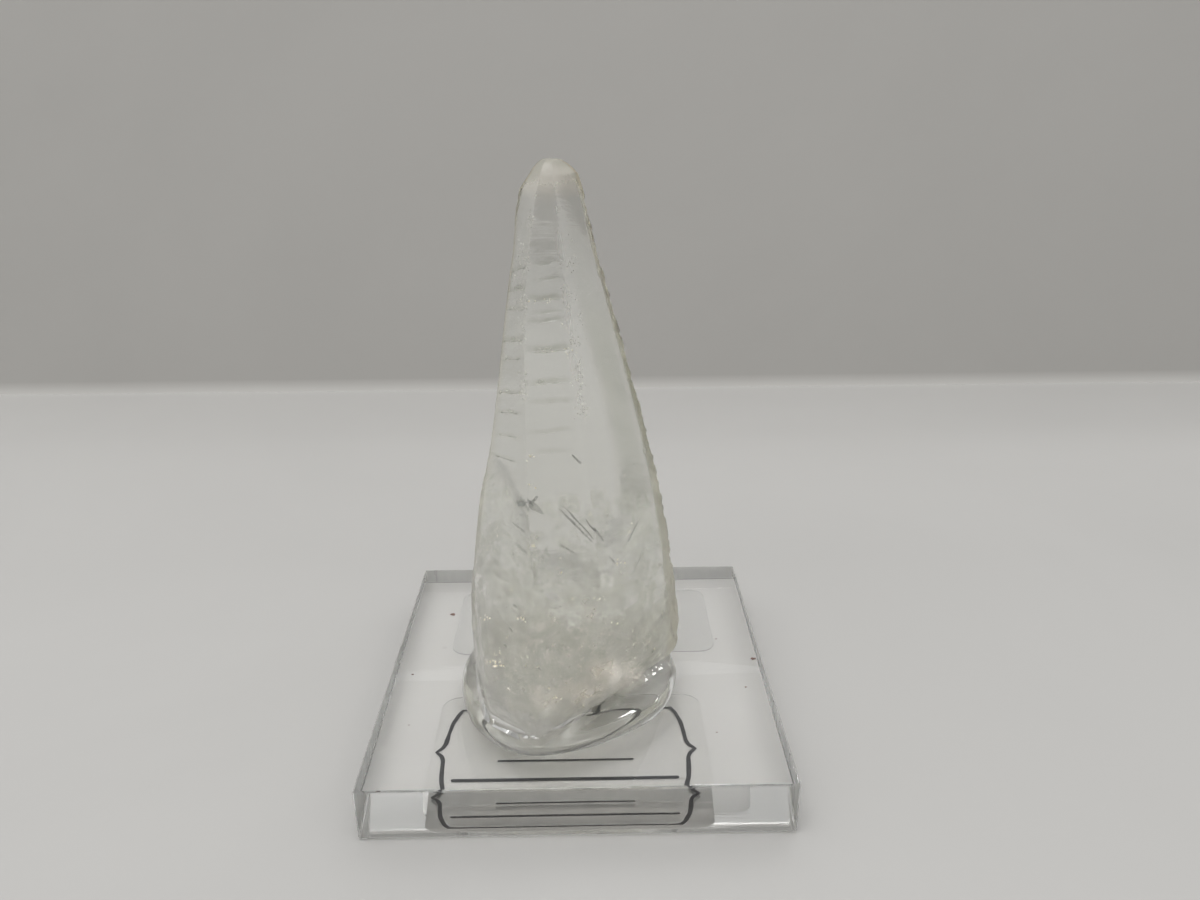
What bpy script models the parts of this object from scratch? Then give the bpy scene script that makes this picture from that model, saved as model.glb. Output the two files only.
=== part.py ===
# A pointed calcite crystal, held by a puddle of clear adhesive on a clear square block
# that has two clear round-cornered labels under it. Metres, +Z up, the front towards -Y.
# The origin is the middle of the block's underside.

import math
import random

import bmesh
import bpy
from mathutils import Matrix, Vector

MM = 0.001

# block
BLOCK_SIDE = 44.5 * MM
BLOCK_HEIGHT = 6.2 * MM
BLOCK_BEVEL = 0.25 * MM

# room between pieces that touch
GAP = 0.3 * MM

# labels: left, right, near and far edge of each
LABEL_THICKNESS = 0.1 * MM
LABEL_CORNER = 2.0 * MM
FRONT_LABEL = (-15.7 * MM, 14.0 * MM, -20.6 * MM, -3.5 * MM)
REAR_LABEL = (-16.1 * MM, 17.2 * MM, 5.0 * MM, 19.6 * MM)

# adhesive: a flattened dome, cut low on its side so that its rim meets the block at a slope,
# with its rim's radii in mm at equal turns from the -X side by way of the front
DOME_CENTRE = (-1.2 * MM, -3.9 * MM)
DOME_RADII = (12.4, 12.5, 13.5, 14.0, 12.8, 12.0, 12.3, 12.4, 13.0, 13.1, 12.9, 12.8, 12.9, 13.2, 13.0)
DOME_HALF_HEIGHT = 4.0 * MM
DOME_CUT = 0.36
SOCKET_ROOM = 0.4 * MM

# crystal: its six long ridges, each a list of (height, x, y) from the foot to the shoulder
FOOT = BLOCK_HEIGHT + GAP
SHOULDER = 61.5 * MM
TIP = 64.4 * MM
TIP_CENTRE = (-1.85 * MM, -4.1 * MM)
LEFT_RIDGE = ((6.5, -12.2, -0.4), (9, -12.8, 0.9), (14, -12.8, 1.6), (24, -11.4, 0.6),
              (34, -9.8, -0.6), (45, -7.85, -2.0), (56, -5.9, -3.0), (61.5, -4.8, -3.9))
FRONT_RIDGE = ((6.5, -3.9, -16.5), (9, -4.0, -16.3), (14, -4.1, -15.6), (24, -4.3, -13.9),
               (34, -4.3, -12.2), (45, -4.25, -10.2), (56, -3.6, -7.9), (61.5, -2.9, -6.4))
MIDDLE_RIDGE = ((6.5, 2.2, -10.5), (9, 2.9, -11.4), (14, 3.2, -11.9), (24, 2.5, -11.7),
                (34, 1.5, -10.6), (45, 0.35, -9.2), (56, -0.8, -7.5), (61.5, -1.3, -6.3))
RIGHT_RIDGE = ((6.5, 10.2, -1.6), (9, 11.8, -1.4), (14, 11.8, -0.2), (24, 10.4, 0.1),
               (34, 8.5, -0.7), (45, 5.7, -2.0), (56, 2.75, -3.0), (61.5, 1.35, -3.9))
BACK_RIGHT_RIDGE = ((6.5, 5.2, 5.6), (9, 6.2, 6.8), (14, 6.4, 7.0), (24, 5.7, 5.6),
                    (34, 4.5, 3.9), (45, 2.8, 1.6), (56, 0.9, -0.8), (61.5, 0.2, -2.1))
BACK_LEFT_RIDGE = ((6.5, -5.6, 6.8), (9, -6.2, 7.7), (14, -6.3, 7.6), (24, -5.9, 6.2),
                   (34, -5.2, 4.4), (45, -4.5, 2.0), (56, -3.6, -0.7), (61.5, -3.2, -2.2))
RIDGES = (LEFT_RIDGE, FRONT_RIDGE, MIDDLE_RIDGE, RIGHT_RIDGE, BACK_RIGHT_RIDGE, BACK_LEFT_RIDGE)
SIDE_CUTS = 5
COLUMNS = len(RIDGES) * SIDE_CUTS
RIGHT_COLUMN = 3 * SIDE_CUTS

# the left side has a blunt corner of its own low down, which fades out upwards
CORNER_OUT = 3.5 * MM
CORNER_PLACE = 0.6
CORNER_TOP = 36 * MM

# growth steps: ledges that face up, and how deep they are on each of the six sides
STEP_HEIGHTS = (36.9, 39.0, 40.8, 43.2, 45.1, 47.6, 50.3, 51.4, 52.5, 54.1, 55.9)
STEP_DEPTH = 0.17 * MM
STEP_RISE = 0.06 * MM
STEP_WAVE = 0.14 * MM
SIDE_SHARE = (1.0, 1.0, 0.35, 0.5, 0.8, 0.6)

# plain rings between the ledges, the chipped right ridge and the rough broken foot
RING_SPACING = 1.3 * MM
CHIP_DEPTH = 0.45 * MM
CHIPS_FROM = 12 * MM
ROUGH_TOP = 24 * MM
ROUGH_DEPTH = 0.3 * MM

# rounded tip: height as a share of the cap, and how far the section has drawn in there
CAP_RINGS = ((0.2, 0.975), (0.42, 0.9), (0.62, 0.78), (0.8, 0.6), (0.93, 0.37), (1.0, 0.12))

# cleavage nicks along the foot's front right edge: centre, edge length and turn
NICKS = (((0.4, -14.9, 7.6), 2.6, 42), ((4.6, -9.9, 7.2), 2.4, 51), ((8.0, -6.0, 7.7), 2.6, 47),
         ((-8.6, -14.6, 7.4), 1.9, 38), ((11.9, -1.3, 12.4), 1.7, 30), ((-12.9, -6.2, 11.0), 1.6, 12))

random.seed(7)


def clear_scene():
    for item in list(bpy.data.objects):
        bpy.data.objects.remove(item, do_unlink=True)


def make_collection(name):
    group = bpy.data.collections.new(name)
    bpy.context.scene.collection.children.link(group)
    return group


def make_material(name, colour, roughness, metallic=0.0, alpha=1.0):
    material = bpy.data.materials.new(name)
    material.use_nodes = True
    shader = material.node_tree.nodes["Principled BSDF"]
    shader.inputs["Base Color"].default_value = (*colour, 1.0)
    shader.inputs["Roughness"].default_value = roughness
    shader.inputs["Metallic"].default_value = metallic
    shader.inputs["Alpha"].default_value = alpha
    return material


def make_object(name, mesh_maker, group, material=None):
    bm = mesh_maker
    bmesh.ops.recalc_face_normals(bm, faces=bm.faces)
    mesh = bpy.data.meshes.new(name)
    bm.to_mesh(mesh)
    bm.free()
    item = bpy.data.objects.new(name, mesh)
    group.objects.link(item)
    if material:
        mesh.materials.append(material)
    return item


def make_cutter(name, mesh_maker, group):
    item = make_object(name, mesh_maker, group)
    item.hide_render = True
    item.display_type = "WIRE"
    return item


def cut(item, cutter):
    modifier = item.modifiers.new(cutter.name, "BOOLEAN")
    modifier.operation = "DIFFERENCE"
    modifier.solver = "EXACT"
    modifier.object = cutter


def along(table, height):
    """Place on a ridge at a height, between its two nearest entries."""
    z = height / MM
    if z <= table[0][0]:
        return Vector((table[0][1], table[0][2])) * MM
    for low, high in zip(table, table[1:]):
        if z <= high[0]:
            share = (z - low[0]) / (high[0] - low[0])
            return Vector((low[1], low[2])).lerp(Vector((high[1], high[2])), share) * MM
    return Vector((table[-1][1], table[-1][2])) * MM


def plain_section(height):
    """The six-sided section at a height, with SIDE_CUTS points along each side."""
    corners = [along(table, height) for table in RIDGES]
    points = []
    for side, corner in enumerate(corners):
        after = corners[(side + 1) % len(corners)]
        for k in range(SIDE_CUTS):
            points.append(corner.lerp(after, k / SIDE_CUTS))
    return points


def outward(points, i):
    run = points[(i + 1) % len(points)] - points[i - 1]
    return Vector((run.y, -run.x)).normalized()


def corner_bulge(column, height):
    """How far the blunt lower corner pushes the left side out."""
    if column > SIDE_CUTS or height > CORNER_TOP:
        return 0.0
    place = column / SIDE_CUTS
    peak = place / CORNER_PLACE if place <= CORNER_PLACE else (1 - place) / (1 - CORNER_PLACE)
    fade = (CORNER_TOP - height) / (CORNER_TOP - FOOT)
    return CORNER_OUT * peak * fade ** 1.4


def side_share(column):
    side, place = divmod(column, SIDE_CUTS)
    if place == 0:
        return (SIDE_SHARE[side] + SIDE_SHARE[side - 1]) / 2
    return SIDE_SHARE[side]


def step_offset(height):
    """Out at the top of each terrace and in at its foot, so that every ledge faces up."""
    marks = [FOOT] + [z * MM for z in STEP_HEIGHTS] + [SHOULDER]
    for low, high in zip(marks, marks[1:]):
        if height <= high:
            share = (height - low) / (high - low)
            return STEP_DEPTH * (share - 0.5) * min(1.0, (high - low) / (2.2 * MM))
    return 0.0


def ring_heights():
    """Two rings at every ledge, and plain rings wherever those are far apart."""
    heights = [FOOT]
    for z in STEP_HEIGHTS:
        heights += [z * MM - STEP_RISE, z * MM + STEP_RISE]
    heights.append(SHOULDER)
    rings = []
    for low, high in zip(heights, heights[1:]):
        parts = max(1, round((high - low) / RING_SPACING))
        rings += [low + (high - low) * k / parts for k in range(parts)]
    return rings + [SHOULDER]


def crystal_rings():
    waves = [random.uniform(-1, 1) for _ in range(COLUMNS)]
    rings = []
    for number, height in enumerate(ring_heights()):
        points = plain_section(height)
        ring = []
        for i, point in enumerate(points):
            push = corner_bulge(i, height) + step_offset(height) * side_share(i)
            if height < ROUGH_TOP:
                push += random.uniform(-1, 0.4) * ROUGH_DEPTH * (1 - height / ROUGH_TOP)
            if i == RIGHT_COLUMN and CHIPS_FROM < height < SHOULDER:
                push -= CHIP_DEPTH * random.random() * (number % 2)
            place = point + outward(points, i) * push
            lift = 0.0
            if FOOT + 2 * MM < height < SHOULDER - 1 * MM:
                lift = STEP_WAVE * waves[i] * math.sin(number // 2 * 2.4 + i)
            ring.append(Vector((place.x, place.y, height + lift)))
        rings.append(ring)
    shoulder = rings[-1]
    for share, width in CAP_RINGS:
        middle = Vector((*TIP_CENTRE, 0))
        height = SHOULDER + (TIP - SHOULDER) * share
        ring = []
        for point in shoulder:
            place = middle.lerp(Vector((point.x, point.y, 0)), width)
            ring.append(Vector((place.x, place.y, height)))
        rings.append(ring)
    return rings


def loft(rings):
    """One circle, extruded ring by ring, with both ends closed."""
    bm = bmesh.new()
    verts = bmesh.ops.create_circle(bm, segments=len(rings[0]), radius=1.0)["verts"]
    for vert, place in zip(verts, rings[0]):
        vert.co = place
    for ring in rings[1:]:
        order = {tuple(vert.co): i for i, vert in enumerate(verts)}
        edges = [bm.edges.get((verts[i - 1], verts[i])) for i in range(len(verts))]
        made = bmesh.ops.extrude_edge_only(bm, edges=edges)["geom"]
        fresh = [None] * len(verts)
        for vert in made:
            if isinstance(vert, bmesh.types.BMVert):
                fresh[order[tuple(vert.co)]] = vert
        for vert, place in zip(fresh, ring):
            vert.co = place
        verts = fresh
    bmesh.ops.holes_fill(bm, edges=[edge for edge in bm.edges if edge.is_boundary])
    return bm


def nick_cutter(place, size, turn):
    bm = bmesh.new()
    bmesh.ops.create_cube(bm, size=size * MM)
    lean = Matrix.Rotation(math.radians(28), 4, "X")
    spin = Matrix.Rotation(math.radians(turn), 4, "Z")
    bmesh.ops.transform(bm, matrix=spin @ lean, verts=bm.verts)
    bmesh.ops.translate(bm, vec=Vector(place) * MM, verts=bm.verts)
    return bm


def foot_socket():
    """The crystal's foot, grown by the gap and run down through the block's top."""
    rings = []
    for height in (FOOT - 1 * MM, FOOT, 9 * MM, 14 * MM):
        points = plain_section(height)
        ring = []
        for i, point in enumerate(points):
            grow = corner_bulge(i, max(height, FOOT)) + SOCKET_ROOM
            place = point + outward(points, i) * grow
            ring.append(Vector((place.x, place.y, height)))
        rings.append(ring)
    return loft(rings)


def rim_radius(azimuth):
    """A smooth closed curve through the rim's radii."""
    count = len(DOME_RADII)
    turn = (azimuth / math.tau + 0.5) * count
    first = math.floor(turn)
    share = turn - first
    a, b, c, d = (DOME_RADII[(first + k) % count] for k in (-1, 0, 1, 2))
    bend = (3 * (b - c) + d - a) * share
    return (b + 0.5 * share * (c - a + share * (2 * a - 5 * b + 4 * c - d + bend))) * MM


def adhesive_dome():
    bm = bmesh.new()
    bmesh.ops.create_uvsphere(bm, u_segments=56, v_segments=22, radius=1.0)
    rim = math.sqrt(1 - DOME_CUT ** 2)
    for vert in bm.verts:
        radius = rim_radius(math.atan2(vert.co.y, vert.co.x)) / rim
        vert.co = Vector((vert.co.x * radius, vert.co.y * radius, vert.co.z * DOME_HALF_HEIGHT))
    low = DOME_CUT * DOME_HALF_HEIGHT
    whole = bm.verts[:] + bm.edges[:] + bm.faces[:]
    bmesh.ops.bisect_plane(bm, geom=whole, plane_co=(0, 0, low), plane_no=(0, 0, 1), clear_inner=True)
    bmesh.ops.holes_fill(bm, edges=[edge for edge in bm.edges if edge.is_boundary])
    bmesh.ops.translate(bm, vec=(*DOME_CENTRE, FOOT - low), verts=bm.verts)
    return bm


def round_plate(edges, bottom, top, radius):
    left, right, near, far = edges
    bm = bmesh.new()
    bmesh.ops.create_cube(bm, size=1.0)
    for vert in bm.verts:
        vert.co.x = right if vert.co.x > 0 else left
        vert.co.y = far if vert.co.y > 0 else near
        vert.co.z = top if vert.co.z > 0 else bottom
    upright = [e for e in bm.edges if abs(e.verts[0].co.z - e.verts[1].co.z) > (top - bottom) / 2]
    bmesh.ops.bevel(bm, geom=upright, offset=radius, segments=6, profile=0.5, affect="EDGES")
    return bm


def grown(edges, by):
    left, right, near, far = edges
    return left - by, right + by, near - by, far + by


def build():
    clear_scene()
    parts = make_collection("calcite_specimen")
    cutters = make_collection("cutters")

    calcite = make_material("calcite", (0.72, 0.74, 0.69), 0.22, alpha=0.8)
    glue = make_material("clear_adhesive", (0.82, 0.83, 0.82), 0.06, alpha=0.4)
    acrylic = make_material("clear_acrylic", (0.80, 0.82, 0.83), 0.04, alpha=0.4)
    film = make_material("label_film", (0.86, 0.86, 0.85), 0.35, alpha=0.6)

    crystal = make_object("crystal", loft(crystal_rings()), parts, calcite)
    for number, (place, size, turn) in enumerate(NICKS, 1):
        cut(crystal, make_cutter(f"nick_{number}", nick_cutter(place, size, turn), cutters))

    adhesive = make_object("adhesive", adhesive_dome(), parts, glue)
    adhesive.data.shade_smooth()
    adhesive.data.set_sharp_from_angle(angle=math.radians(40))
    cut(adhesive, make_cutter("foot_socket", foot_socket(), cutters))

    half = BLOCK_SIDE / 2
    block = round_plate((-half, half, -half, half), 0.0, BLOCK_HEIGHT, 0.4 * MM)
    base = make_object("acrylic_base", block, parts, acrylic)
    edge = base.modifiers.new("edges", "BEVEL")
    edge.width = BLOCK_BEVEL
    edge.segments = 2
    edge.limit_method = "ANGLE"
    edge.angle_limit = math.radians(60)
    for name, place in (("front_label", FRONT_LABEL), ("rear_label", REAR_LABEL)):
        make_object(name, round_plate(place, 0.0, LABEL_THICKNESS, LABEL_CORNER), parts, film)
        room = round_plate(grown(place, GAP), -1 * MM, LABEL_THICKNESS + GAP, LABEL_CORNER + GAP)
        cut(base, make_cutter(f"{name}_room", room, cutters))


build()
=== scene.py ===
# A pointed calcite crystal on a clear block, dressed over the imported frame.
# A piece is shaped in millimetres and turned into metres when it is finished.
import math
import random

import bmesh
import bpy
from mathutils import Matrix, Vector, noise
from mathutils.bvhtree import BVHTree


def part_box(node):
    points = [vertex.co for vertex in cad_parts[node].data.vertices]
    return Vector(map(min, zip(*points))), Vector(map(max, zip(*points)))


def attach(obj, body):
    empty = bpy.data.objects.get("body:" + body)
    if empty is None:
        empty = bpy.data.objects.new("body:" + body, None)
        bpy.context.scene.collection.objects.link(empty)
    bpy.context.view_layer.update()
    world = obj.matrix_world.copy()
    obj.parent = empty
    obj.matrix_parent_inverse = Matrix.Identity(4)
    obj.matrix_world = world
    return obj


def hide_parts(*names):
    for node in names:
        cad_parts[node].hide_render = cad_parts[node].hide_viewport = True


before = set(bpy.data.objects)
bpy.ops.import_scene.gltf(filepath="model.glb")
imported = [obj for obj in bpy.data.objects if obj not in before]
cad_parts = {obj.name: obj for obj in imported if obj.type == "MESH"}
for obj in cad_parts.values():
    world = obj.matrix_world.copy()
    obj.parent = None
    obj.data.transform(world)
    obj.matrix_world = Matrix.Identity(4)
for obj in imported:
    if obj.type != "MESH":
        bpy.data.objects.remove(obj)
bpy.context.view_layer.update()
mm = 0.001
random.seed(11)

blockLow, blockHigh = (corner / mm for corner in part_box("acrylic_base"))
blockTop = blockHigh.z
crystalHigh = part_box("crystal")[1] / mm
dip = 0.02  # touching clear pieces reach this far into each other, so that no air film shows

view = {  # the camera, from the block's four corners in the photograph
    "focal": 905.6, "imageWidth": 1200, "pitch": 21.67, "yaw": 0.80, "roll": -0.39,
    "place": (1.47, -93.05, 70.27), "sensor": 36.0, "clearBounces": 28, "veilBounces": 64,
}


def smoothStep(start, end, value):
    # 0 at start and 1 at end, which may be the lower of the two
    t = min(1.0, max(0.0, (value - start) / (end - start)))
    return t * t * (3 - 2 * t)


def finishPiece(name, bm, materials, nodes=(), sharp=30.0):
    bmesh.ops.scale(bm, vec=(mm, mm, mm), verts=bm.verts)
    mesh = bpy.data.meshes.new(name)
    bm.to_mesh(mesh)
    bm.free()
    for material in materials:
        mesh.materials.append(material)
    mesh.shade_smooth()
    mesh.set_sharp_from_angle(angle=math.radians(sharp))
    piece = bpy.data.objects.new(name, mesh)
    bpy.context.scene.collection.objects.link(piece)
    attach(piece, "root")
    if nodes:
        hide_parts(*nodes)


def raiseRings(rings, joinEnds=False, paint=None):
    # a circle extruded through the rings, its two ends filled, or joined to each other
    bm = bmesh.new()
    layers = {name: bm.verts.layers.float.new(name) for name in paint or {}}
    verts = bmesh.ops.create_circle(bm, segments=len(rings[0]), radius=1.0)["verts"]
    for number, ring in enumerate(rings[1:], 1):
        if number == 1:
            for i, vert in enumerate(verts):
                vert.co = rings[0][i]
                for name, layer in layers.items():
                    vert[layer] = paint[name][0][i]
        order = {tuple(vert.co): i for i, vert in enumerate(verts)}
        edges = [bm.edges.get((verts[i - 1], verts[i])) for i in range(len(verts))]
        made = bmesh.ops.extrude_edge_only(bm, edges=edges)["geom"]
        fresh = [item for item in made if isinstance(item, bmesh.types.BMVert)]
        verts = sorted(fresh, key=lambda vert: order[tuple(vert.co)])
        for i, vert in enumerate(verts):
            vert.co = ring[i]
            for name, layer in layers.items():
                vert[layer] = paint[name][number][i]
    openEdges = [edge for edge in bm.edges if edge.is_boundary]
    if joinEnds:
        bmesh.ops.bridge_loops(bm, edges=openEdges)
    else:
        bmesh.ops.holes_fill(bm, edges=openEdges)
    bmesh.ops.recalc_face_normals(bm, faces=bm.faces)
    return bm


def roundPlate(left, right, near, far, bottom, top, radius, segments=10):
    bm = bmesh.new()
    bmesh.ops.create_cube(bm, size=1.0)
    for vert in bm.verts:
        vert.co = (right if vert.co.x > 0 else left, far if vert.co.y > 0 else near,
                   top if vert.co.z > 0 else bottom)
    upright = [e for e in bm.edges if abs(e.verts[0].co.z - e.verts[1].co.z) > (top - bottom) / 2]
    bmesh.ops.bevel(bm, geom=upright, offset=radius, segments=segments, profile=0.5,
                    affect="EDGES", material=-1)
    bmesh.ops.recalc_face_normals(bm, faces=bm.faces)
    return bm


def carve(bm, cutterBm):
    # takes one solid out of another with a Boolean, and gives the result back as a bmesh
    holders = []
    for part in (bm, cutterBm):
        mesh = bpy.data.meshes.new("carving")
        part.to_mesh(mesh)
        part.free()
        holder = bpy.data.objects.new("carving", mesh)
        bpy.context.scene.collection.objects.link(holder)
        holders.append(holder)
    cut = holders[0].modifiers.new("cut", "BOOLEAN")
    cut.operation = "DIFFERENCE"
    cut.solver = "EXACT"
    cut.object = holders[1]
    graph = bpy.context.evaluated_depsgraph_get()
    carved = bmesh.new()
    carved.from_mesh(holders[0].evaluated_get(graph).to_mesh())
    for holder in holders:
        mesh = holder.data
        bpy.data.objects.remove(holder)
        bpy.data.meshes.remove(mesh)
    return carved


def newMaterial(name, **values):
    material = bpy.data.materials.new(name)
    material.use_nodes = True
    shader = material.node_tree.nodes["Principled BSDF"]
    for socket, value in values.items():
        shader.inputs[socket.replace("_", " ")].default_value = value
    return material, material.node_tree, shader


def addNode(tree, kind, inputs=None, **settings):
    node = tree.nodes.new(kind)
    for key, value in settings.items():
        setattr(node, key, value)
    for key, value in (inputs or {}).items():
        if isinstance(value, bpy.types.NodeSocket):
            tree.links.new(value, node.inputs[key])
        else:
            node.inputs[key].default_value = value
    return node


def ramp(tree, factor, stops):
    node = addNode(tree, "ShaderNodeValToRGB", {"Fac": factor})
    marks = node.color_ramp.elements
    while len(marks) < len(stops):
        marks.new(0.5)
    for mark, (place, shade) in zip(marks, stops):
        mark.position = place
        mark.color = (*shade, 1.0) if isinstance(shade, tuple) else (shade, shade, shade, 1.0)
    return node.outputs["Color"]


def multiplied(tree, first, second):
    both = addNode(tree, "ShaderNodeMix", data_type="RGBA", blend_type="MULTIPLY")
    both.inputs["Factor"].default_value = 1.0
    tree.links.new(first, both.inputs["A"])
    tree.links.new(second, both.inputs["B"])
    return both.outputs["Result"]


def newGroup(name, inputs, outputs):
    group = bpy.data.node_groups.new(name, "ShaderNodeTree")
    for label, value in inputs.items():
        socket = group.interface.new_socket(label, in_out="INPUT", socket_type="NodeSocketFloat")
        socket.default_value = value
    for label in outputs:
        group.interface.new_socket(label, in_out="OUTPUT", socket_type="NodeSocketFloat")
    return group, group.nodes.new("NodeGroupInput"), group.nodes.new("NodeGroupOutput")


def useGroup(tree, group, **values):
    node = tree.nodes.new("ShaderNodeGroup")
    node.node_tree = group
    for label, value in values.items():
        node.inputs[label].default_value = value
    return node


def makeCloudGroup():
    # soft uneven clouds, and a finer grain, in the object's own space
    group, given, result = newGroup("mineralClouds", {"Scale": 200.0, "Stretch": 1.0},
                                    ("Clouds", "Grain"))
    place = addNode(group, "ShaderNodeTexCoord").outputs["Object"]
    apart = addNode(group, "ShaderNodeSeparateXYZ", {"Vector": place})
    tall = addNode(group, "ShaderNodeMath", {0: apart.outputs["Z"], 1: given.outputs["Stretch"]},
                   operation="MULTIPLY")
    again = addNode(group, "ShaderNodeCombineXYZ", {"X": apart.outputs["X"], "Y": apart.outputs["Y"],
                                                    "Z": tall.outputs[0]})
    clouds = addNode(group, "ShaderNodeTexNoise", {"Vector": again.outputs[0],
                                                   "Scale": given.outputs["Scale"],
                                                   "Detail": 5.0, "Roughness": 0.6, "Distortion": 0.6})
    finer = addNode(group, "ShaderNodeMath", {0: given.outputs["Scale"], 1: 7.0}, operation="MULTIPLY")
    grain = addNode(group, "ShaderNodeTexNoise", {"Vector": again.outputs[0], "Scale": finer.outputs[0],
                                                  "Detail": 3.0, "Roughness": 0.5})
    group.links.new(clouds.outputs["Fac"], result.inputs["Clouds"])
    group.links.new(grain.outputs["Fac"], result.inputs["Grain"])
    return group


def makeHandledGroup():
    # faint hairline scratches and smears on a clear polished surface
    group, given, result = newGroup("handledSurface", {"Scale": 60.0}, ("Scratches", "Smears"))
    place = addNode(group, "ShaderNodeTexCoord").outputs["Object"]
    total = None
    for turn, stretch in ((0.4, 26.0), (1.9, 34.0)):
        turned = addNode(group, "ShaderNodeMapping", {"Vector": place, "Rotation": (0.0, 0.0, turn),
                                                      "Scale": (1.0, stretch, 1.0)})
        lines = addNode(group, "ShaderNodeTexNoise", {"Vector": turned.outputs[0],
                                                      "Scale": given.outputs["Scale"],
                                                      "Detail": 2.0, "Distortion": 0.3})
        sharp = addNode(group, "ShaderNodeMapRange", {"Value": lines.outputs["Fac"], "From Min": 0.64,
                                                      "From Max": 0.7})
        if total:
            total = addNode(group, "ShaderNodeMath", {0: total.outputs[0], 1: sharp.outputs[0]},
                            operation="MAXIMUM")
        else:
            total = sharp
    smears = addNode(group, "ShaderNodeTexNoise", {"Vector": place, "Scale": given.outputs["Scale"],
                                                   "Detail": 4.0, "Distortion": 1.2})
    group.links.new(total.outputs[0], result.inputs["Scratches"])
    group.links.new(smears.outputs["Fac"], result.inputs["Smears"])
    return group


cloudGroup = makeCloudGroup()
handledGroup = makeHandledGroup()


def mottledFinish(name, scale, tones, marks=(0.35, 0.65), by="Grain", **values):
    # a material whose colour wanders between two tones, and the clouds that it follows
    material, tree, shader = newMaterial(name, **values)
    clouds = useGroup(tree, cloudGroup, Scale=scale, Stretch=1.0)
    shade = ramp(tree, clouds.outputs[by], tuple(zip(marks, tones)))
    tree.links.new(shade, shader.inputs["Base Color"])
    return material, tree, shader, clouds


ridges = (  # the crystal's long ridges, each from the foot up: height, x, y
    ((6.5, -12.2, -0.4), (9, -12.8, 0.9), (14, -12.8, 1.6), (24, -11.4, 0.6),
     (34, -9.8, -0.6), (45, -7.85, -2.0), (56, -5.9, -3.0), (61.4, -4.8, -3.8), (63, -3.8, -4.0)),
    ((6.5, -3.9, -16.5), (9, -4.0, -16.3), (14, -4.1, -15.6), (24, -4.3, -13.9),
     (34, -4.45, -12.2), (45, -4.55, -10.2), (56, -3.9, -7.9), (61.4, -3.1, -6.4), (63, -2.7, -5.8)),
    ((6.5, 2.2, -10.5), (9, 2.9, -11.4), (14, 3.2, -11.9), (24, 2.5, -11.7),
     (34, 1.5, -10.6), (45, 0.35, -9.2), (56, -0.8, -7.5), (61.4, -1.3, -6.3), (63, -1.4, -5.8)),
    ((6.5, 10.2, -1.6), (9, 11.8, -1.4), (14, 11.8, -0.2), (24, 10.4, 0.1),
     (34, 8.5, -0.7), (45, 5.7, -2.0), (56, 2.75, -3.0), (61.4, 1.35, -3.8), (63, 0.85, -4.1)),
    ((6.5, 5.2, 5.6), (9, 6.2, 6.8), (14, 6.4, 7.0), (24, 5.7, 5.6),
     (34, 4.5, 3.9), (45, 2.8, 1.6), (56, 0.9, -0.8), (61.4, 0.2, -2.1), (63, -0.2, -2.6)),
    ((6.5, -5.6, 6.8), (9, -6.2, 7.7), (14, -6.7, 7.5), (24, -6.9, 6.0),
     (34, -6.5, 4.15), (45, -5.8, 1.75), (56, -4.65, -0.9), (61.4, -3.7, -2.3), (63, -3.1, -2.8)),
)
crystal = {
    "foot": 6.5,
    "shoulder": 63.0,
    "tip": crystalHigh.z,
    "tipCentre": (-1.85, -4.1),
    "cuts": 26,            # columns on each side, closest beside the ridges
    "ringSpacing": 0.2,
    "capRings": 16,
    "cornerOut": 3.5,      # blunt corner low on the left side
    "cornerPlace": 0.587,
    "cornerTop": 36.0,
    "facetOut": 0.7,       # a low extra ridge on the right front side
    "facetPlaces": (0.16, 0.17),      # its place along the side at the top, and how much more below
    "facetShift": (36, 57),           # heights between which it moves there
    "facetSpan": (12, 24, 40, 57),    # it sets in over the first two heights and ends over the others
    "ledgeRise": 0.04,
    "ledgeShare": 0.42,    # of the depths in the list of ledges
    "ledgeFade": 0.3,      # share of a side over which a ledge sets in and ends
    "ledgeTilt": (3.0, 0.7),          # how far the ledges sink towards the left and the right edge
    "tiltSpan": (26, 38, 57, 60),     # the tilt sets in and ends over these heights
    "tiltEase": (40, 53),             # the left one is halved over these
    "ledgeSway": 0.16,
    "chipSlope": 0.8,      # how steeply a chip ends beside its ridge
    "edgeRound": (0.025, 0.12),       # how much is worn off the ridges, and how far from them
    "wave": (0.035, 0.22),            # depth and closeness of the slow waves
    "footRough": 0.36,
    "roughSpan": (9, 25),             # the broken foot smooths out over these heights
    "lumps": (0.42, 5, 0.75, 0.15),   # closeness, steps, share and shift of the broken lumps
    "grit": (0.12, 2.2),              # share and closeness of the finer ones
    "capDraw": ((0.45, 1), (0.27, 3), (0.28, 24)),  # how the cap draws in: amounts and powers
    "capRound": 0.97,      # of the way from the shoulder to a level top
    "capPits": (0.05, 2.4),           # depth and closeness
}
ledges = (  # height, from and to along the sides, depth, and how far up the face recovers
    (54.9, 0.05, 0.98, 0.10, 0.6), (53.0, 0.02, 1.0, 0.17, 0.7), (51.2, 0.1, 1.0, 0.14, 0.6),
    (48.3, 0.02, 1.0, 0.18, 0.7), (46.6, 0.1, 0.9, 0.11, 0.5), (43.4, 0.05, 0.98, 0.15, 0.6),
    (41.4, 0.1, 0.95, 0.10, 0.6), (38.9, 0.1, 0.9, 0.08, 0.6), (36.3, 0.05, 0.8, 0.07, 0.6),
    (55.1, 1.05, 1.9, 0.08, 0.6), (53.7, 1.1, 2.0, 0.07, 0.5), (51.9, 1.0, 2.0, 0.21, 0.8),
    (50.7, 1.1, 1.9, 0.09, 0.5), (49.9, 1.0, 2.0, 0.14, 0.6), (47.1, 1.0, 2.05, 0.20, 0.9),
    (44.1, 1.0, 1.95, 0.16, 0.8), (42.3, 1.05, 2.0, 0.12, 0.7), (39.4, 1.0, 1.9, 0.09, 0.7),
    (37.4, 1.05, 1.8, 0.07, 0.7),
)
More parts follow.
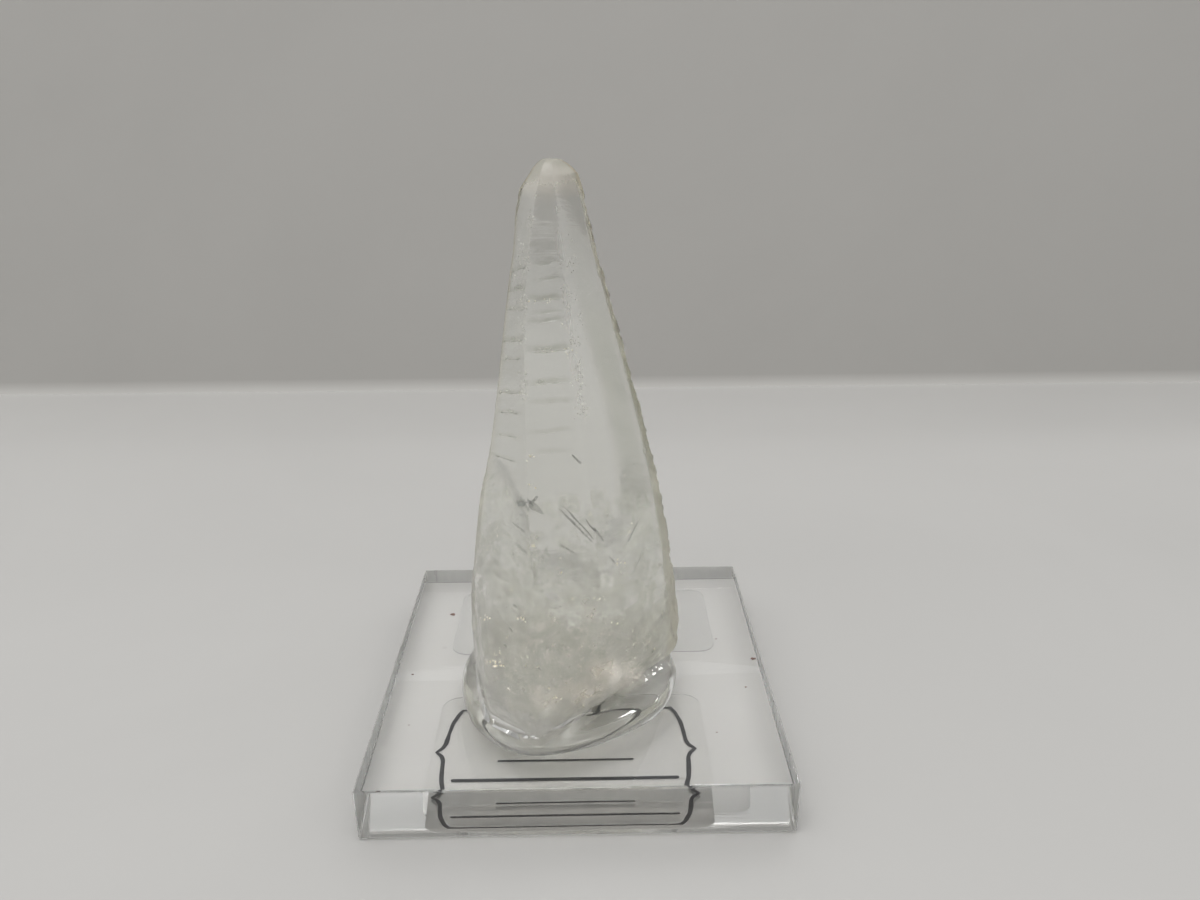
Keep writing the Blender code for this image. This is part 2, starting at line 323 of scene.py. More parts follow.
chipPlan = (  # ridge, how many chips, the deepest and the longest half length of them
    (0, 22, 0.14, 0.5), (1, 6, 0.02, 0.2), (2, 34, 0.06, 0.22),
    (3, 60, 0.34, 0.8), (4, 14, 0.2, 0.8), (5, 14, 0.2, 0.8),
)
chipSpan = (9, 60.5)
grainPlan = {  # the coarse strips beside the front and the middle ridge: share, reach and depth
    1: (0.5, 0.22, 0.03),
    2: (1.0, 0.34, 0.06),
}
toneMarks = {  # where the olive and the warm tone lie: amounts, and spans along a side or in height
    "leftOlive": (0.16, 0.3),
    "leftOliveEnd": 0.35,
    "leftRise": (16, 24),
    "leftWarmEnd": (0.02, 0.2),
    "frontOlive": 0.07,
    "frontRise": (24, 34),
    "frontEnd": (0.8, 0.98),
    "backOlive": 0.4,
    "backFrom": 0.8,
    "rightOlive": 0.62,
    "rightFrom": (-0.08, 0.2),        # from the low extra ridge
    "rightRise": (17, 27),
    "rightFall": (47, 54),
    "darkStrip": (0.3, 0.93, 0.06),   # amount, place and half width
    "paleStrip": (0.3, 0.8, 0.04),
    "stripEnd": (43, 52),
    "rightWarm": (0.8, 0.95),
    "warmRise": (44, 54),
}


def onRidge(table, z):
    # a smooth curve through the ridge's points
    z = min(max(z, table[0][0]), table[-1][0] - 1e-6)
    i = max(k for k in range(len(table) - 1) if table[k][0] <= z)
    a, b = table[i], table[i + 1]
    before, after = table[max(i - 1, 0)], table[min(i + 2, len(table) - 1)]
    span = b[0] - a[0]
    t = (z - a[0]) / span
    spot = []
    for axis in (1, 2):
        leave = (b[axis] - before[axis]) / (b[0] - before[0]) * span
        arrive = (after[axis] - a[axis]) / (after[0] - a[0]) * span
        spot.append((2 * t ** 3 - 3 * t ** 2 + 1) * a[axis] + (t ** 3 - 2 * t ** 2 + t) * leave
                    + (3 * t ** 2 - 2 * t ** 3) * b[axis] + (t ** 3 - t ** 2) * arrive)
    return Vector(spot)


def makeChips():
    chips = []
    for ridge, count, deepest, longest in chipPlan:
        for _ in range(count):
            chips.append((ridge, random.uniform(*chipSpan), longest * random.uniform(0.35, 1.0),
                          deepest * random.uniform(0.3, 1.0)))
    return chips


def facetPlace(z):
    least, more = crystal["facetPlaces"]
    return least + more * (1 - smoothStep(*crystal["facetShift"], z))


def chipDepth(chips, ridge, z, reach):
    deepest = 0.0
    for place, height, half, depth in chips:
        if place == ridge and abs(z - height) < half:
            deepest = max(deepest, depth * (1 - ((z - height) / half) ** 2))
    return max(0.0, deepest - crystal["chipSlope"] * reach)


def ledgeDepth(s, z):
    total, ends = 0.0, crystal["ledgeFade"]
    for height, start, end, depth, reach in ledges:
        above = z - height - crystal["ledgeRise"]
        if start < s < end and -1e-6 <= above < reach:
            fade = smoothStep(start, start + ends, s) * (1 - smoothStep(end - ends, end, s))
            uneven = 0.65 + 0.5 * noise.noise(Vector((s * 4.0, height, 2.0)))
            deep = crystal["ledgeShare"] * depth * fade
            total = max(total, deep * max(0.0, uneven) * (1 - above / reach))
    return total


def ledgeShade(s, z):
    # painted shade: the ledges are painted darkest in the middle of their height and length
    shade = 0.0
    for height, start, end, depth, reach in ledges:
        above = (z - height + 0.1) / reach
        if s < 2.1 and start < s < end and 0 < above < 1:
            across = math.sin(math.pi * (s - start) / (end - start)) ** 0.7
            uneven = 0.75 + 0.5 * noise.noise(Vector((s * 5.0, height, 7.0)))
            shade = max(shade, (0.35 + depth / 0.3) * across * uneven * math.sin(math.pi * above))
    return shade


def ringHeights():
    marks = [crystal["foot"], crystal["shoulder"]]
    for height, _, _, _, reach in ledges:
        marks += [height, height + crystal["ledgeRise"], height + reach]
    marks = sorted(marks)
    kept = [marks[0]]
    for mark in marks[1:]:
        if mark - kept[-1] > 0.03:
            kept.append(mark)
    heights = []
    for start, end in zip(kept, kept[1:]):
        parts = max(1, math.ceil((end - start) / crystal["ringSpacing"]))
        heights += [start + (end - start) * k / parts for k in range(parts)]
    return heights + [kept[-1]]


def sideColumns():
    return [0.5 - 0.5 * math.cos(math.pi * k / crystal["cuts"]) for k in range(crystal["cuts"])]


def grainShare(s, z, reach):
    # how coarse the surface is beside the two front ridges
    ridge = round(s) % 6
    if ridge not in grainPlan:
        return 0.0
    share, width, _ = grainPlan[ridge]
    span = smoothStep(30, 44, z) * (1 - smoothStep(61, 63, z))
    patchy = 0.55 + 0.8 * noise.noise(Vector((ridge * 9.0, 3.0, z * 0.45)))
    return max(0.0, patchy) * span * share * math.exp(-(reach / width) ** 2)


def sideShade(side, u, z):
    # the olive and the warm share of the places where the photograph shows them
    marks, oliveAndShade, warm = toneMarks, 0.0, 0.0
    if side == 0:
        overall, beside = marks["leftOlive"]
        oliveAndShade = overall + beside * (1 - smoothStep(0.0, marks["leftOliveEnd"], u))
        oliveAndShade *= smoothStep(*marks["leftRise"], z)
        warm = 1 - smoothStep(*marks["leftWarmEnd"], u)
        warm *= 0.4 + 0.6 * smoothStep(*marks["warmRise"], z)
    elif side == 1:
        oliveAndShade = marks["frontOlive"] * smoothStep(*marks["frontRise"], z)
        oliveAndShade *= 1 - smoothStep(*marks["frontEnd"], u)
    elif side == 5:
        oliveAndShade = marks["backOlive"] * smoothStep(marks["backFrom"], 1.0, u)
    elif side == 2:
        edge = facetPlace(z)
        before, after = marks["rightFrom"]
        oliveAndShade = marks["rightOlive"] * smoothStep(edge + before, edge + after, u)
        dark, pale = (amount * math.exp(-((u - place) / width) ** 2)
                      for amount, place, width in (marks["darkStrip"], marks["paleStrip"]))
        oliveAndShade += (dark - pale) * (1 - smoothStep(*marks["stripEnd"], z))
        oliveAndShade *= 0.4 + 0.6 * smoothStep(*marks["rightRise"], z)
        oliveAndShade *= 1 - 0.7 * smoothStep(*marks["rightFall"], z)
        warm = smoothStep(*marks["rightWarm"], u) * (0.5 + 0.5 * smoothStep(*marks["warmRise"], z))
    return max(0.0, oliveAndShade), warm


def paintRing(z):
    # what is painted round one ring: olive and warm zones, painted shade along the ledges, and frosted ones
    corners = [onRidge(table, z) for table in ridges]
    marks = []
    for side in range(6):
        length = (corners[(side + 1) % 6] - corners[side]).length
        for u in sideColumns():
            s = side + u
            oliveAndShade, warm = sideShade(side, u, z)
            # painted shade of the ledges, added to the olive tone below
            streak = ledgeShade(s, z)
            frost = grainShare(s, z, length * min(u, 1 - u)) + 0.7 * streak + 0.5 * warm
            marks.append((min(1.0, oliveAndShade + streak), warm, min(1.0, frost)))
    return marks


def crystalRing(z, chips, inset=0.0):
    corners = [onRidge(table, z) for table in ridges]
    centre = sum(corners, Vector((0, 0))) / 6
    foot, rough = crystal["foot"], 1 - smoothStep(*crystal["roughSpan"], z)
    setIn, full, easing, ended = crystal["facetSpan"]
    facetOut = crystal["facetOut"] * smoothStep(ended, easing, z) * smoothStep(setIn, full, z)
    worn, wornReach = crystal["edgeRound"]
    waveDepth, waveScale = crystal["wave"]
    lumpScale, steps, lumpShare, lumpShift = crystal["lumps"]
    gritShare, gritScale = crystal["grit"]
    tiltFrom, tiltFull, tiltEasing, tiltEnd = crystal["tiltSpan"]
    shear = smoothStep(tiltFrom, tiltFull, z) * (1 - smoothStep(tiltEasing, tiltEnd, z))
    leftTilt, rightTilt = crystal["ledgeTilt"]
    leftTilt *= 1 - 0.5 * smoothStep(*crystal["tiltEase"], z)
    ring = []
    for side, corner in enumerate(corners):
        run = corners[(side + 1) % 6] - corner
        normal = Vector((run.y, -run.x)).normalized()
        for u in sideColumns():
            s = side + u
            flat = corner + run * u
            out = (flat - centre).normalized()
            out /= max(0.6, out.dot(normal))
            push = -inset
            if side == 0 and z < crystal["cornerTop"]:
                place = crystal["cornerPlace"]
                peak = u / place if u <= place else (1 - u) / (1 - place)
                push += crystal["cornerOut"] * peak * ((crystal["cornerTop"] - z)
                                                       / (crystal["cornerTop"] - foot)) ** 1.4
            if side == 2:
                middle = facetPlace(z)
                peak = u / middle if u <= middle else (1 - u) / (1 - middle)
                push += facetOut * peak
            if not inset:
                reach = run.length * min(u, 1 - u)
                ridge = side if u < 0.5 else (side + 1) % 6
                push -= chipDepth(chips, ridge, z, reach) + worn * math.exp(-reach / wornReach)
                push -= ledgeDepth(s, z)
                spot = Vector((flat.x, flat.y, z))
                push += waveDepth * noise.noise(spot * waveScale)
                if ridge in grainPlan:
                    coarse = grainPlan[ridge][2]
                    push += coarse * noise.noise(spot * 5.0) * grainShare(s, z, reach)
                stepped = round(noise.fractal(spot * lumpScale, 1.0, 2.0, 3) * steps) / steps
                push -= crystal["footRough"] * rough * (lumpShare * max(0.0, stepped + lumpShift)
                                                        + gritShare * noise.noise(spot * gritScale))
            spot = flat + out * push
            lift = 0.0
            if not inset:
                slope = {0: -leftTilt * (1 - u), 5: -leftTilt * u, 2: -rightTilt * u,
                         3: -rightTilt * (1 - u)}.get(side, 0.0)
                sway = crystal["ledgeSway"] * noise.noise(Vector((s * 2.6, 5.0, z * 0.3)))
                lift = shear * (slope + sway)
            ring.append(Vector((spot.x, spot.y, z + lift)))
    return ring


def crystalRings(chips):
    # the rings, and what is painted on them
    heights = ringHeights()
    rings = [crystalRing(z, chips) for z in heights]
    paint = [paintRing(z) for z in heights]
    shoulder, middle = rings[-1], Vector(crystal["tipCentre"])
    pitDepth, pitScale = crystal["capPits"]
    for k in range(1, crystal["capRings"] + 1):
        share = math.sin(k / crystal["capRings"] * math.pi / 2 * crystal["capRound"])
        width = 1 - sum(amount * share ** power for amount, power in crystal["capDraw"])
        height = crystal["shoulder"] + (crystal["tip"] - crystal["shoulder"]) * share
        ring = []
        for point in shoulder:
            flat = middle.lerp(point.xy, width)
            pit = pitDepth * noise.noise(Vector((flat.x, flat.y, height)) * pitScale)
            ring.append(Vector((flat.x, flat.y, height + pit * (1 - share))))
        rings.append(ring)
        paint.append(paint[-1])
    return rings, {name: [[mark[k] for mark in marks] for marks in paint]
                   for k, name in enumerate(("oliveAndShade", "warm", "frost"))}


calciteLook = {
    "tints": (  # share of the height, colour
        (0.10, (0.97, 0.955, 0.92)), (0.35, (0.955, 0.95, 0.93)), (0.72, (0.94, 0.94, 0.92)),
        (0.86, (0.81, 0.81, 0.79)), (0.965, (0.81, 0.805, 0.785)), (0.985, (0.93, 0.895, 0.83)),
    ),
    "ior": 1.486,
    # the olive tone, which also colours the painted shade of the ledges
    "oliveAndShade": (0.62, 0.635, 0.56),
    "warm": (0.96, 0.88, 0.76),
    "clearShare": 0.9,
    "absorb": (0.90, 0.905, 0.865, 1.0),
    "absorbDensity": 35.0,
    "roughness": (0.05, 0.13),
    "cloudScale": 260.0,
    "lineScale": 110.0,    # fine lines that lie across the sides
    "lineStretch": 10.0,
    "sway": 0.003,         # how uneven the ends of the frosted and the broken zone are, in metres
    "frostFrom": 62.6,     # the tip is frosted above this height
    "frostReach": 2.2,
    "frostRough": 0.3,
    "brokenTo": (13.0, 21.0),         # the broken foot's roughness ends between these heights
    "brokenRough": 0.08,
    "grainRough": 0.35,
    "relief": (0.3, 0.05),            # strength and depth of the bumps
}


def makeCrystalFinish():
    look = calciteLook
    material, tree, shader = newMaterial("calcite", IOR=look["ior"], Transmission_Weight=look["clearShare"],
                                         Metallic=0.0)
    place = addNode(tree, "ShaderNodeTexCoord").outputs["Object"]
    height = addNode(tree, "ShaderNodeSeparateXYZ", {"Vector": place}).outputs["Z"]
    clouds = useGroup(tree, cloudGroup, Scale=look["cloudScale"], Stretch=1.0)
    lines = useGroup(tree, cloudGroup, Scale=look["lineScale"], Stretch=look["lineStretch"])
    sway = addNode(tree, "ShaderNodeMath", {0: clouds.outputs["Clouds"], 1: look["sway"]},
                   operation="MULTIPLY")
    uneven = addNode(tree, "ShaderNodeMath", {0: height, 1: sway.outputs[0]}, operation="ADD")
    frost = addNode(tree, "ShaderNodeMapRange", {"Value": uneven.outputs[0],
                                                 "From Min": look["frostFrom"] * mm,
                                                 "From Max": (look["frostFrom"] + look["frostReach"]) * mm})
    low, high = look["brokenTo"]
    broken = addNode(tree, "ShaderNodeMapRange", {"Value": uneven.outputs[0], "From Min": high * mm,
                                                  "From Max": low * mm})
    smooth = addNode(tree, "ShaderNodeMapRange", {"Value": clouds.outputs["Clouds"], "From Min": 0.35,
                                                  "From Max": 0.65, "To Min": look["roughness"][0],
                                                  "To Max": look["roughness"][1]})
    grainy = addNode(tree, "ShaderNodeAttribute", attribute_name="frost").outputs["Fac"]
    rough = smooth.outputs[0]
    for mark, amount in ((frost.outputs[0], look["frostRough"]), (broken.outputs[0], look["brokenRough"]),
                         (grainy, look["grainRough"])):
        rough = addNode(tree, "ShaderNodeMath", {0: mark, 1: amount, 2: rough},
                        operation="MULTIPLY_ADD").outputs[0]
    tree.links.new(rough, shader.inputs["Roughness"])
    relief = addNode(tree, "ShaderNodeMath", {0: clouds.outputs["Grain"], 1: 0.5,
                                              2: lines.outputs["Clouds"]}, operation="MULTIPLY_ADD")
    coarse = addNode(tree, "ShaderNodeMath", {0: clouds.outputs["Clouds"], 1: broken.outputs[0],
                                              2: relief.outputs[0]}, operation="MULTIPLY_ADD")
    strength, depth = look["relief"]
    bump = addNode(tree, "ShaderNodeBump", {"Strength": strength, "Distance": depth * mm,
                                            "Height": coarse.outputs[0]})
    tree.links.new(bump.outputs[0], shader.inputs["Normal"])
    share = addNode(tree, "ShaderNodeMapRange", {"Value": uneven.outputs[0],
                                                 "From Max": crystal["tip"] * mm})
    shade = ramp(tree, share.outputs[0], look["tints"])
    # this mark holds the olive tone, and along the ledges painted shade in the same olive colour
    oliveAndShade = addNode(tree, "ShaderNodeAttribute", attribute_name="oliveAndShade").outputs["Fac"]
    warm = addNode(tree, "ShaderNodeAttribute", attribute_name="warm").outputs["Fac"]
    for mark, tone in ((oliveAndShade, look["oliveAndShade"]), (warm, look["warm"])):
        shade = multiplied(tree, shade, ramp(tree, mark, ((0.0, (1.0, 1.0, 1.0)), (1.0, tone))))
    tree.links.new(shade, shader.inputs["Base Color"])
    absorb = addNode(tree, "ShaderNodeVolumeAbsorption", {"Color": look["absorb"],
                                                          "Density": look["absorbDensity"]})
    tree.links.new(absorb.outputs[0], tree.nodes["Material Output"].inputs["Volume"])
    return material


def makeCrystal():
    rings, paint = crystalRings(makeChips())
    bm = raiseRings(rings, paint=paint)
    skin = BVHTree.FromBMesh(bm)
    finishPiece("crystalBody", bm, [makeCrystalFinish()], nodes=("crystal",), sharp=24.0)
    return skin


insides = {  # the flaws inside the crystal
    "veilCount": 1050,
    "veilSize": (0.6, 1.9),
    "veilFrom": 7.2,
    "veilFade": 5.6,       # height over which the milkiness thins out
    "veilReach": 20.0,     # no veil lies more than this above the lowest
    "veilSpread": 0.86,    # share of the way from the middle to the sides
    "veilLean": (0.3, -0.8, 0.5),     # the way that they tend to face
    "glintCount": 40,
    "glintSize": (0.08, 0.22),
    "glintFrom": 8,
    "glintFade": 8.0,
    "glintReach": 24.0,
    "glintSpread": 0.9,
    "glintLean": (0.0, -0.8, 0.9),
    "sparkleFlakes": 6,    # flakes in each sparkle
    "sparkleShare": (0.25, 0.6),
    "sparkleLean": (-0.3, -2.0, 2.3),
    "lobeDepth": (0.2, 1.2),
    "lobeLean": (0.0, -1.6, 0.9),
    "softThick": 0.03,     # of the veils, lobes and cracks
    "glintThick": 0.02,
    "grainThick": 0.015,
    "grainCount": 520,
    "grainSize": (0.04, 0.13),
    "grainSpan": (40, 60.5),
    "grainLean": (0.0, -1.5, 0.4),
    "leftShare": 0.45,     # of the grains that lie left of the front ridge
    "crackPlane": -9.0,    # the y of the plane that the places below lie on, as the camera sees them
    "crackDepth": (0.5, 0.8),         # under the surface, at a crack's start and end
    "crackSlant": 0.45,
    "crackWidth": (0.65, 0.41),       # share of the listed width, and a plain flake's half width
}
flawLooks = {  # shown: two levels of the clouds, and how much shows (glints: how rough) at each
    "milkyVeil": {"scale": 420.0, "tones": ((0.66, 0.66, 0.61), (0.82, 0.81, 0.76)),
                  "shown": (0.4, 0.7, 0.12, 0.46), "faded": True, "Roughness": 0.9},
    "creamLobe": {"scale": 350.0, "tones": ((0.90, 0.85, 0.77), (0.97, 0.93, 0.86)),
                  "shown": (0.4, 0.65, 0.12, 0.5), "faded": True, "Roughness": 0.8},
    "glintFlake": {"scale": 900.0, "tones": ((0.96, 0.86, 0.64), (0.96, 0.93, 0.85)),
                   "marks": (0.4, 0.6), "shown": (0.0, 1.0, 0.3, 0.6), "socket": "Roughness",
                   "Metallic": 1.0},
    "frostGrain": {"scale": 2500.0, "tones": ((0.80, 0.78, 0.72), (0.95, 0.94, 0.90)),
                   "shown": (0.35, 0.65, 0.25, 0.75), "Roughness": 0.6},
    "crackFilm": {"scale": 700.0, "tones": ((0.17, 0.18, 0.16), (0.32, 0.33, 0.30)),
                  "marks": (0.3, 0.7), "shown": (0.35, 0.6, 0.25, 0.7), "Roughness": 0.35},
}
cracks = (  # start x and z, end x and z, width
    (-2.2, 31.1, 1.7, 26.7, 0.30), (-1.5, 31.1, 2.3, 26.7, 0.26), (0.8, 29.5, 3.1, 26.6, 0.22),
    (-6.5, 29.1, -4.9, 27.5, 0.44), (-6.4, 26.8, -4.8, 25.0, 0.50), (-1.9, 26.5, 0.0, 25.3, 0.26),
    (-0.3, 36.4, 0.9, 35.3, 0.28), (6.8, 29.6, 4.5, 24.9, 0.24), (7.3, 26.1, 5.9, 22.6, 0.24),
    (-6.0, 31.1, -4.2, 31.2, 0.9), (-5.6, 32.0, -3.2, 29.8, 0.6), (-4.3, 31.1, -3.8, 31.9, 0.5),
    (-5.7, 31.3, -4.5, 31.0, 1.6),
    (1.6, 24.5, 2.0, 23.8, 0.3), (3.5, 24.7, 4.3, 24.0, 0.36), (-7.4, 16.4, -6.9, 15.7, 0.5),
    (-8.1, 14.4, -7.6, 13.8, 0.4), (-6.8, 19.2, -6.3, 18.7, 0.3), (-10.6, 8.6, -10.3, 7.9, 0.3),
)
sparkles = (  # x, z, size
    (-9.1, 11.8, 0.42), (-8.6, 11.5, 0.3), (-5.9, 17.4, 0.36), (-9.6, 17.7, 0.36),
    (1.1, 7.3, 0.22), (-2.6, 7.2, 0.18),
    (-4.5, 36.3, 0.22), (-4.3, 33.0, 0.2), (4.7, 24.2, 0.34), (-8.7, 12.9, 0.2), (-3.9, 51.9, 0.14),
    (-2.0, 51.9, 0.14), (-0.5, 47.4, 0.18), (-0.2, 46.9, 0.14), (-8.9, 26.0, 0.14), (2.6, 19.8, 0.16),
)
lobeZones = (  # x from and to, z from and to, how many, smallest and largest
    (2.0, 7.0, 8.0, 11.5, 16, 1.4, 2.3), (-5.0, 2.0, 6.0, 9.5, 16, 1.0, 1.8),
    (-10.0, 8.0, 12.0, 19.0, 60, 0.25, 0.9), (-9.5, 6.0, 7.0, 16.0, 60, 0.12, 0.4),
)


def behindFront(skin, x, z, depth):
    # the place just inside the crystal that the camera sees where x and z lie on the crack plane,
    # and the way that its line of sight takes in there
    eye = Vector(view["place"])
    way = (Vector((x, insides["crackPlane"], z)) - eye).normalized()
    hit, normal, _, _ = skin.ray_cast(eye, way)
    if hit is None:
        return None, None
    if normal.dot(way) > 0:
        normal = -normal
    across = -way.dot(normal) / calciteLook["ior"]
    slowed = math.sqrt(1 - (1 - way.dot(normal) ** 2) / calciteLook["ior"] ** 2)
    inward = way / calciteLook["ior"] + normal * (across - slowed)
    return hit + inward * depth, inward


def grainSpot():
    # where frost grains lie, as seen on the crack plane: beside the two front ridges, in patches
    while True:
        z = random.uniform(*insides["grainSpan"])
        front, middle = onRidge(ridges[1], z), onRidge(ridges[2], z)
        if random.random() < insides["leftShare"]:
            x = front.x - abs(random.gauss(0, 0.7)) + 0.15
        else:
            x = middle.x + random.gauss(0.35, 0.4)
        if noise.noise(Vector((x * 0.8, 1.0, z * 0.55))) > random.uniform(-0.15, 0.45):
            return x, z


def addFlake(bm, middle, facing, radius, thickness, sides=7, turned=True, fade=None):
    # a thin uneven disc, with fade set to 1 in the middle of its faces and 0 round the edge
    turn = facing.to_track_quat("Z", "Y").to_matrix().to_4x4()
    spin = Matrix.Rotation(random.uniform(0, math.tau), 4, "Z") if turned else Matrix()
    flake = bmesh.ops.create_circle(bm, cap_ends=True, segments=sides, radius=radius,
                                    matrix=Matrix.Translation(middle) @ turn @ spin)["verts"]
    for vert in flake:
        out = vert.co - middle
        vert.co = middle + out * random.uniform(0.6, 1.15) + facing * random.uniform(-0.12, 0.12) * radius
    face = flake[0].link_faces[0]
    made = bmesh.ops.extrude_face_region(bm, geom=[face])["geom"]
    lifted = [item for item in made if isinstance(item, bmesh.types.BMVert)]
    bmesh.ops.translate(bm, vec=facing * thickness, verts=lifted)
    if fade:
        caps = {face for vert in flake + lifted for face in vert.link_faces if len(face.verts) == sides}
        for vert in bmesh.ops.poke(bm, faces=list(caps))["verts"]:
            vert[fade] = 1.0
    return flake + lifted


def randomDirection(lean):
    return (Vector([random.gauss(0, 1) for _ in range(3)]).normalized() + Vector(lean)).normalized()


def insidePoint(z, spread):
    section = [onRidge(table, z) for table in ridges]
    middle = sum(section, Vector((0, 0))) / 6
    s = random.uniform(0, 6)
    side = int(s)
    edge = section[side].lerp(section[(side + 1) % 6], s - side)
    flat = middle.lerp(edge, spread * math.sqrt(random.random()))
    return Vector((flat.x, flat.y, z))


def flawFinish(name, shown, socket="Alpha", faded=False, **values):
    material, tree, shader, clouds = mottledFinish(name, **values)
    low, high, least, most = shown
    level = addNode(tree, "ShaderNodeMapRange", {"Value": clouds.outputs["Clouds"], "From Min": low,
                                                 "From Max": high, "To Min": least,
                                                 "To Max": most}).outputs[0]
    if faded:
        inner = addNode(tree, "ShaderNodeAttribute", attribute_name="fade").outputs["Fac"]
        level = addNode(tree, "ShaderNodeMath", {0: level, 1: inner}, operation="MULTIPLY").outputs[0]
    tree.links.new(level, shader.inputs[socket])
    return material


def finishFlakes(name, bm, look):
    bmesh.ops.recalc_face_normals(bm, faces=bm.faces)
    finishPiece(name, bm, [flawFinish(look, **flawLooks[look])])


def makeVeils():
    bm = bmesh.new()
    fade = bm.verts.layers.float.new("fade")
    for _ in range(insides["veilCount"]):
        z = insides["veilFrom"] + min(insides["veilReach"], random.expovariate(1 / insides["veilFade"]))
        addFlake(bm, insidePoint(z, insides["veilSpread"]), randomDirection(insides["veilLean"]),
                 random.uniform(*insides["veilSize"]), insides["softThick"], fade=fade)
    finishFlakes("milkVeils", bm, "milkyVeil")


def makeLobes(skin):
    bm = bmesh.new()
    fade = bm.verts.layers.float.new("fade")
    for leftX, rightX, lowZ, highZ, count, low, high in lobeZones:
        for _ in range(count):
            spot, _ = behindFront(skin, random.uniform(leftX, rightX), random.uniform(lowZ, highZ),
                                  random.uniform(*insides["lobeDepth"]))
            if spot and spot.z > blockTop + 1:
                addFlake(bm, spot, randomDirection(insides["lobeLean"]), random.uniform(low, high),
                         insides["softThick"], fade=fade)
    finishFlakes("creamLobes", bm, "creamLobe")


def makeGlints(skin):
    bm = bmesh.new()
    for x, z, size in sparkles:
        for _ in range(insides["sparkleFlakes"]):
            spot, _ = behindFront(skin, x + random.gauss(0, 0.3), z + random.gauss(0, 0.2), 0.15)
            addFlake(bm, spot, randomDirection(insides["sparkleLean"]),
                     size * random.uniform(*insides["sparkleShare"]), insides["glintThick"], sides=5)
    for _ in range(insides["glintCount"]):
        z = insides["glintFrom"] + min(insides["glintReach"], random.expovariate(1 / insides["glintFade"]))
        addFlake(bm, insidePoint(z, insides["glintSpread"]), randomDirection(insides["glintLean"]),
                 random.uniform(*insides["glintSize"]), insides["glintThick"], sides=5)
    finishFlakes("glintFlakes", bm, "glintFlake")


def makeGrains(skin):
    bm = bmesh.new()
    for _ in range(insides["grainCount"]):
        spot, _ = behindFront(skin, *grainSpot(), 0.06)
        addFlake(bm, spot, randomDirection(insides["grainLean"]), random.uniform(*insides["grainSize"]),
                 insides["grainThick"], sides=5)
    finishFlakes("frostGrains", bm, "frostGrain")


def makeCracks(skin):
    bm = bmesh.new()
    startDepth, endDepth = insides["crackDepth"]
    widthShare, flakeHalf = insides["crackWidth"]
    for startX, startZ, endX, endZ, width in cracks:
        start, away = behindFront(skin, startX, startZ, startDepth)
        end, _ = behindFront(skin, endX, endZ, endDepth)
        along = (end - start).normalized()
        lean = (away + along.cross(away) * insides["crackSlant"]).normalized()
        facing = along.cross(lean).normalized()
        middle = (start + end) / 2
        verts = addFlake(bm, middle, facing, 0.5, insides["softThick"], sides=14, turned=False)
        for vert in verts:
            out = vert.co - middle
            vert.co += along * out.dot(along) * ((end - start).length - 1)
            vert.co += lean * out.dot(lean) * (widthShare * width / flakeHalf - 1)
    finishFlakes("cleavageCracks", bm, "crackFilm")


block = {
    "bevel": 0.28,
    "bottom": 0.1,         # the labels lie below it
    "tint": (0.985, 0.985, 0.98, 1.0),
    # painted shade: the darker, warmer tint of the polished front face
    "frontShadeTint": (0.80, 0.79, 0.765, 1.0),
    "ior": 1.49,
    "wear": (0.0, 0.2, 60.0, 0.003),  # roughness where clean and where worn, scale, scratch depth
    "bigFace": 100.0,      # only the six large faces have more area than this
    "sawnShare": 0.5,      # how much light the sawn faces let through
    "sawnTones": ((0.60, 0.61, 0.60), (0.66, 0.67, 0.66)),
    "sawnRough": (0.25, 0.4),
}


def clearMaterial(name, tint, ior, smooth, worn, scale, bumpDepth, share=1.0):
    material, tree, shader = newMaterial(name, Base_Color=tint, IOR=ior, Transmission_Weight=share,
                                         Metallic=0.0)
    wear = useGroup(tree, handledGroup, Scale=scale)
    both = addNode(tree, "ShaderNodeMath", {0: wear.outputs["Smears"], 1: wear.outputs["Scratches"]},
                   operation="MULTIPLY")
    rough = addNode(tree, "ShaderNodeMapRange", {"Value": both.outputs[0], "To Min": smooth,
                                                 "To Max": worn})
    tree.links.new(rough.outputs[0], shader.inputs["Roughness"])
    bump = addNode(tree, "ShaderNodeBump", {"Strength": 0.15, "Distance": bumpDepth * mm,
                                            "Height": wear.outputs["Scratches"]})
    tree.links.new(bump.outputs[0], shader.inputs["Normal"])
    shade = ramp(tree, wear.outputs["Smears"], ((0.3, tuple(c * 0.99 for c in tint[:3])),
                                                (0.7, tuple(tint[:3]))))
    tree.links.new(shade, shader.inputs["Base Color"])
    return material


def makeSawnEdge():
    # a half matte cut face with fine upright saw lines
    material, tree, shader = newMaterial("sawnAcrylic", IOR=block["ior"], Metallic=0.0,
                                         Transmission_Weight=block["sawnShare"])
    place = addNode(tree, "ShaderNodeTexCoord").outputs["Object"]
    drawn = addNode(tree, "ShaderNodeMapping", {"Vector": place, "Scale": (1.0, 1.0, 0.06)})
    lines = addNode(tree, "ShaderNodeTexNoise", {"Vector": drawn.outputs[0], "Scale": 900.0, "Detail": 4.0})
    rough = addNode(tree, "ShaderNodeMapRange", {"Value": lines.outputs["Fac"], "From Min": 0.3,
                                                 "From Max": 0.7, "To Min": block["sawnRough"][0],
                                                 "To Max": block["sawnRough"][1]})
    tree.links.new(rough.outputs[0], shader.inputs["Roughness"])
    shade = ramp(tree, lines.outputs["Fac"], tuple(zip((0.35, 0.65), block["sawnTones"])))
    tree.links.new(shade, shader.inputs["Base Color"])
    bump = addNode(tree, "ShaderNodeBump", {"Strength": 0.2, "Distance": 0.01 * mm,
                                            "Height": lines.outputs["Fac"]})
    tree.links.new(bump.outputs[0], shader.inputs["Normal"])
    return material


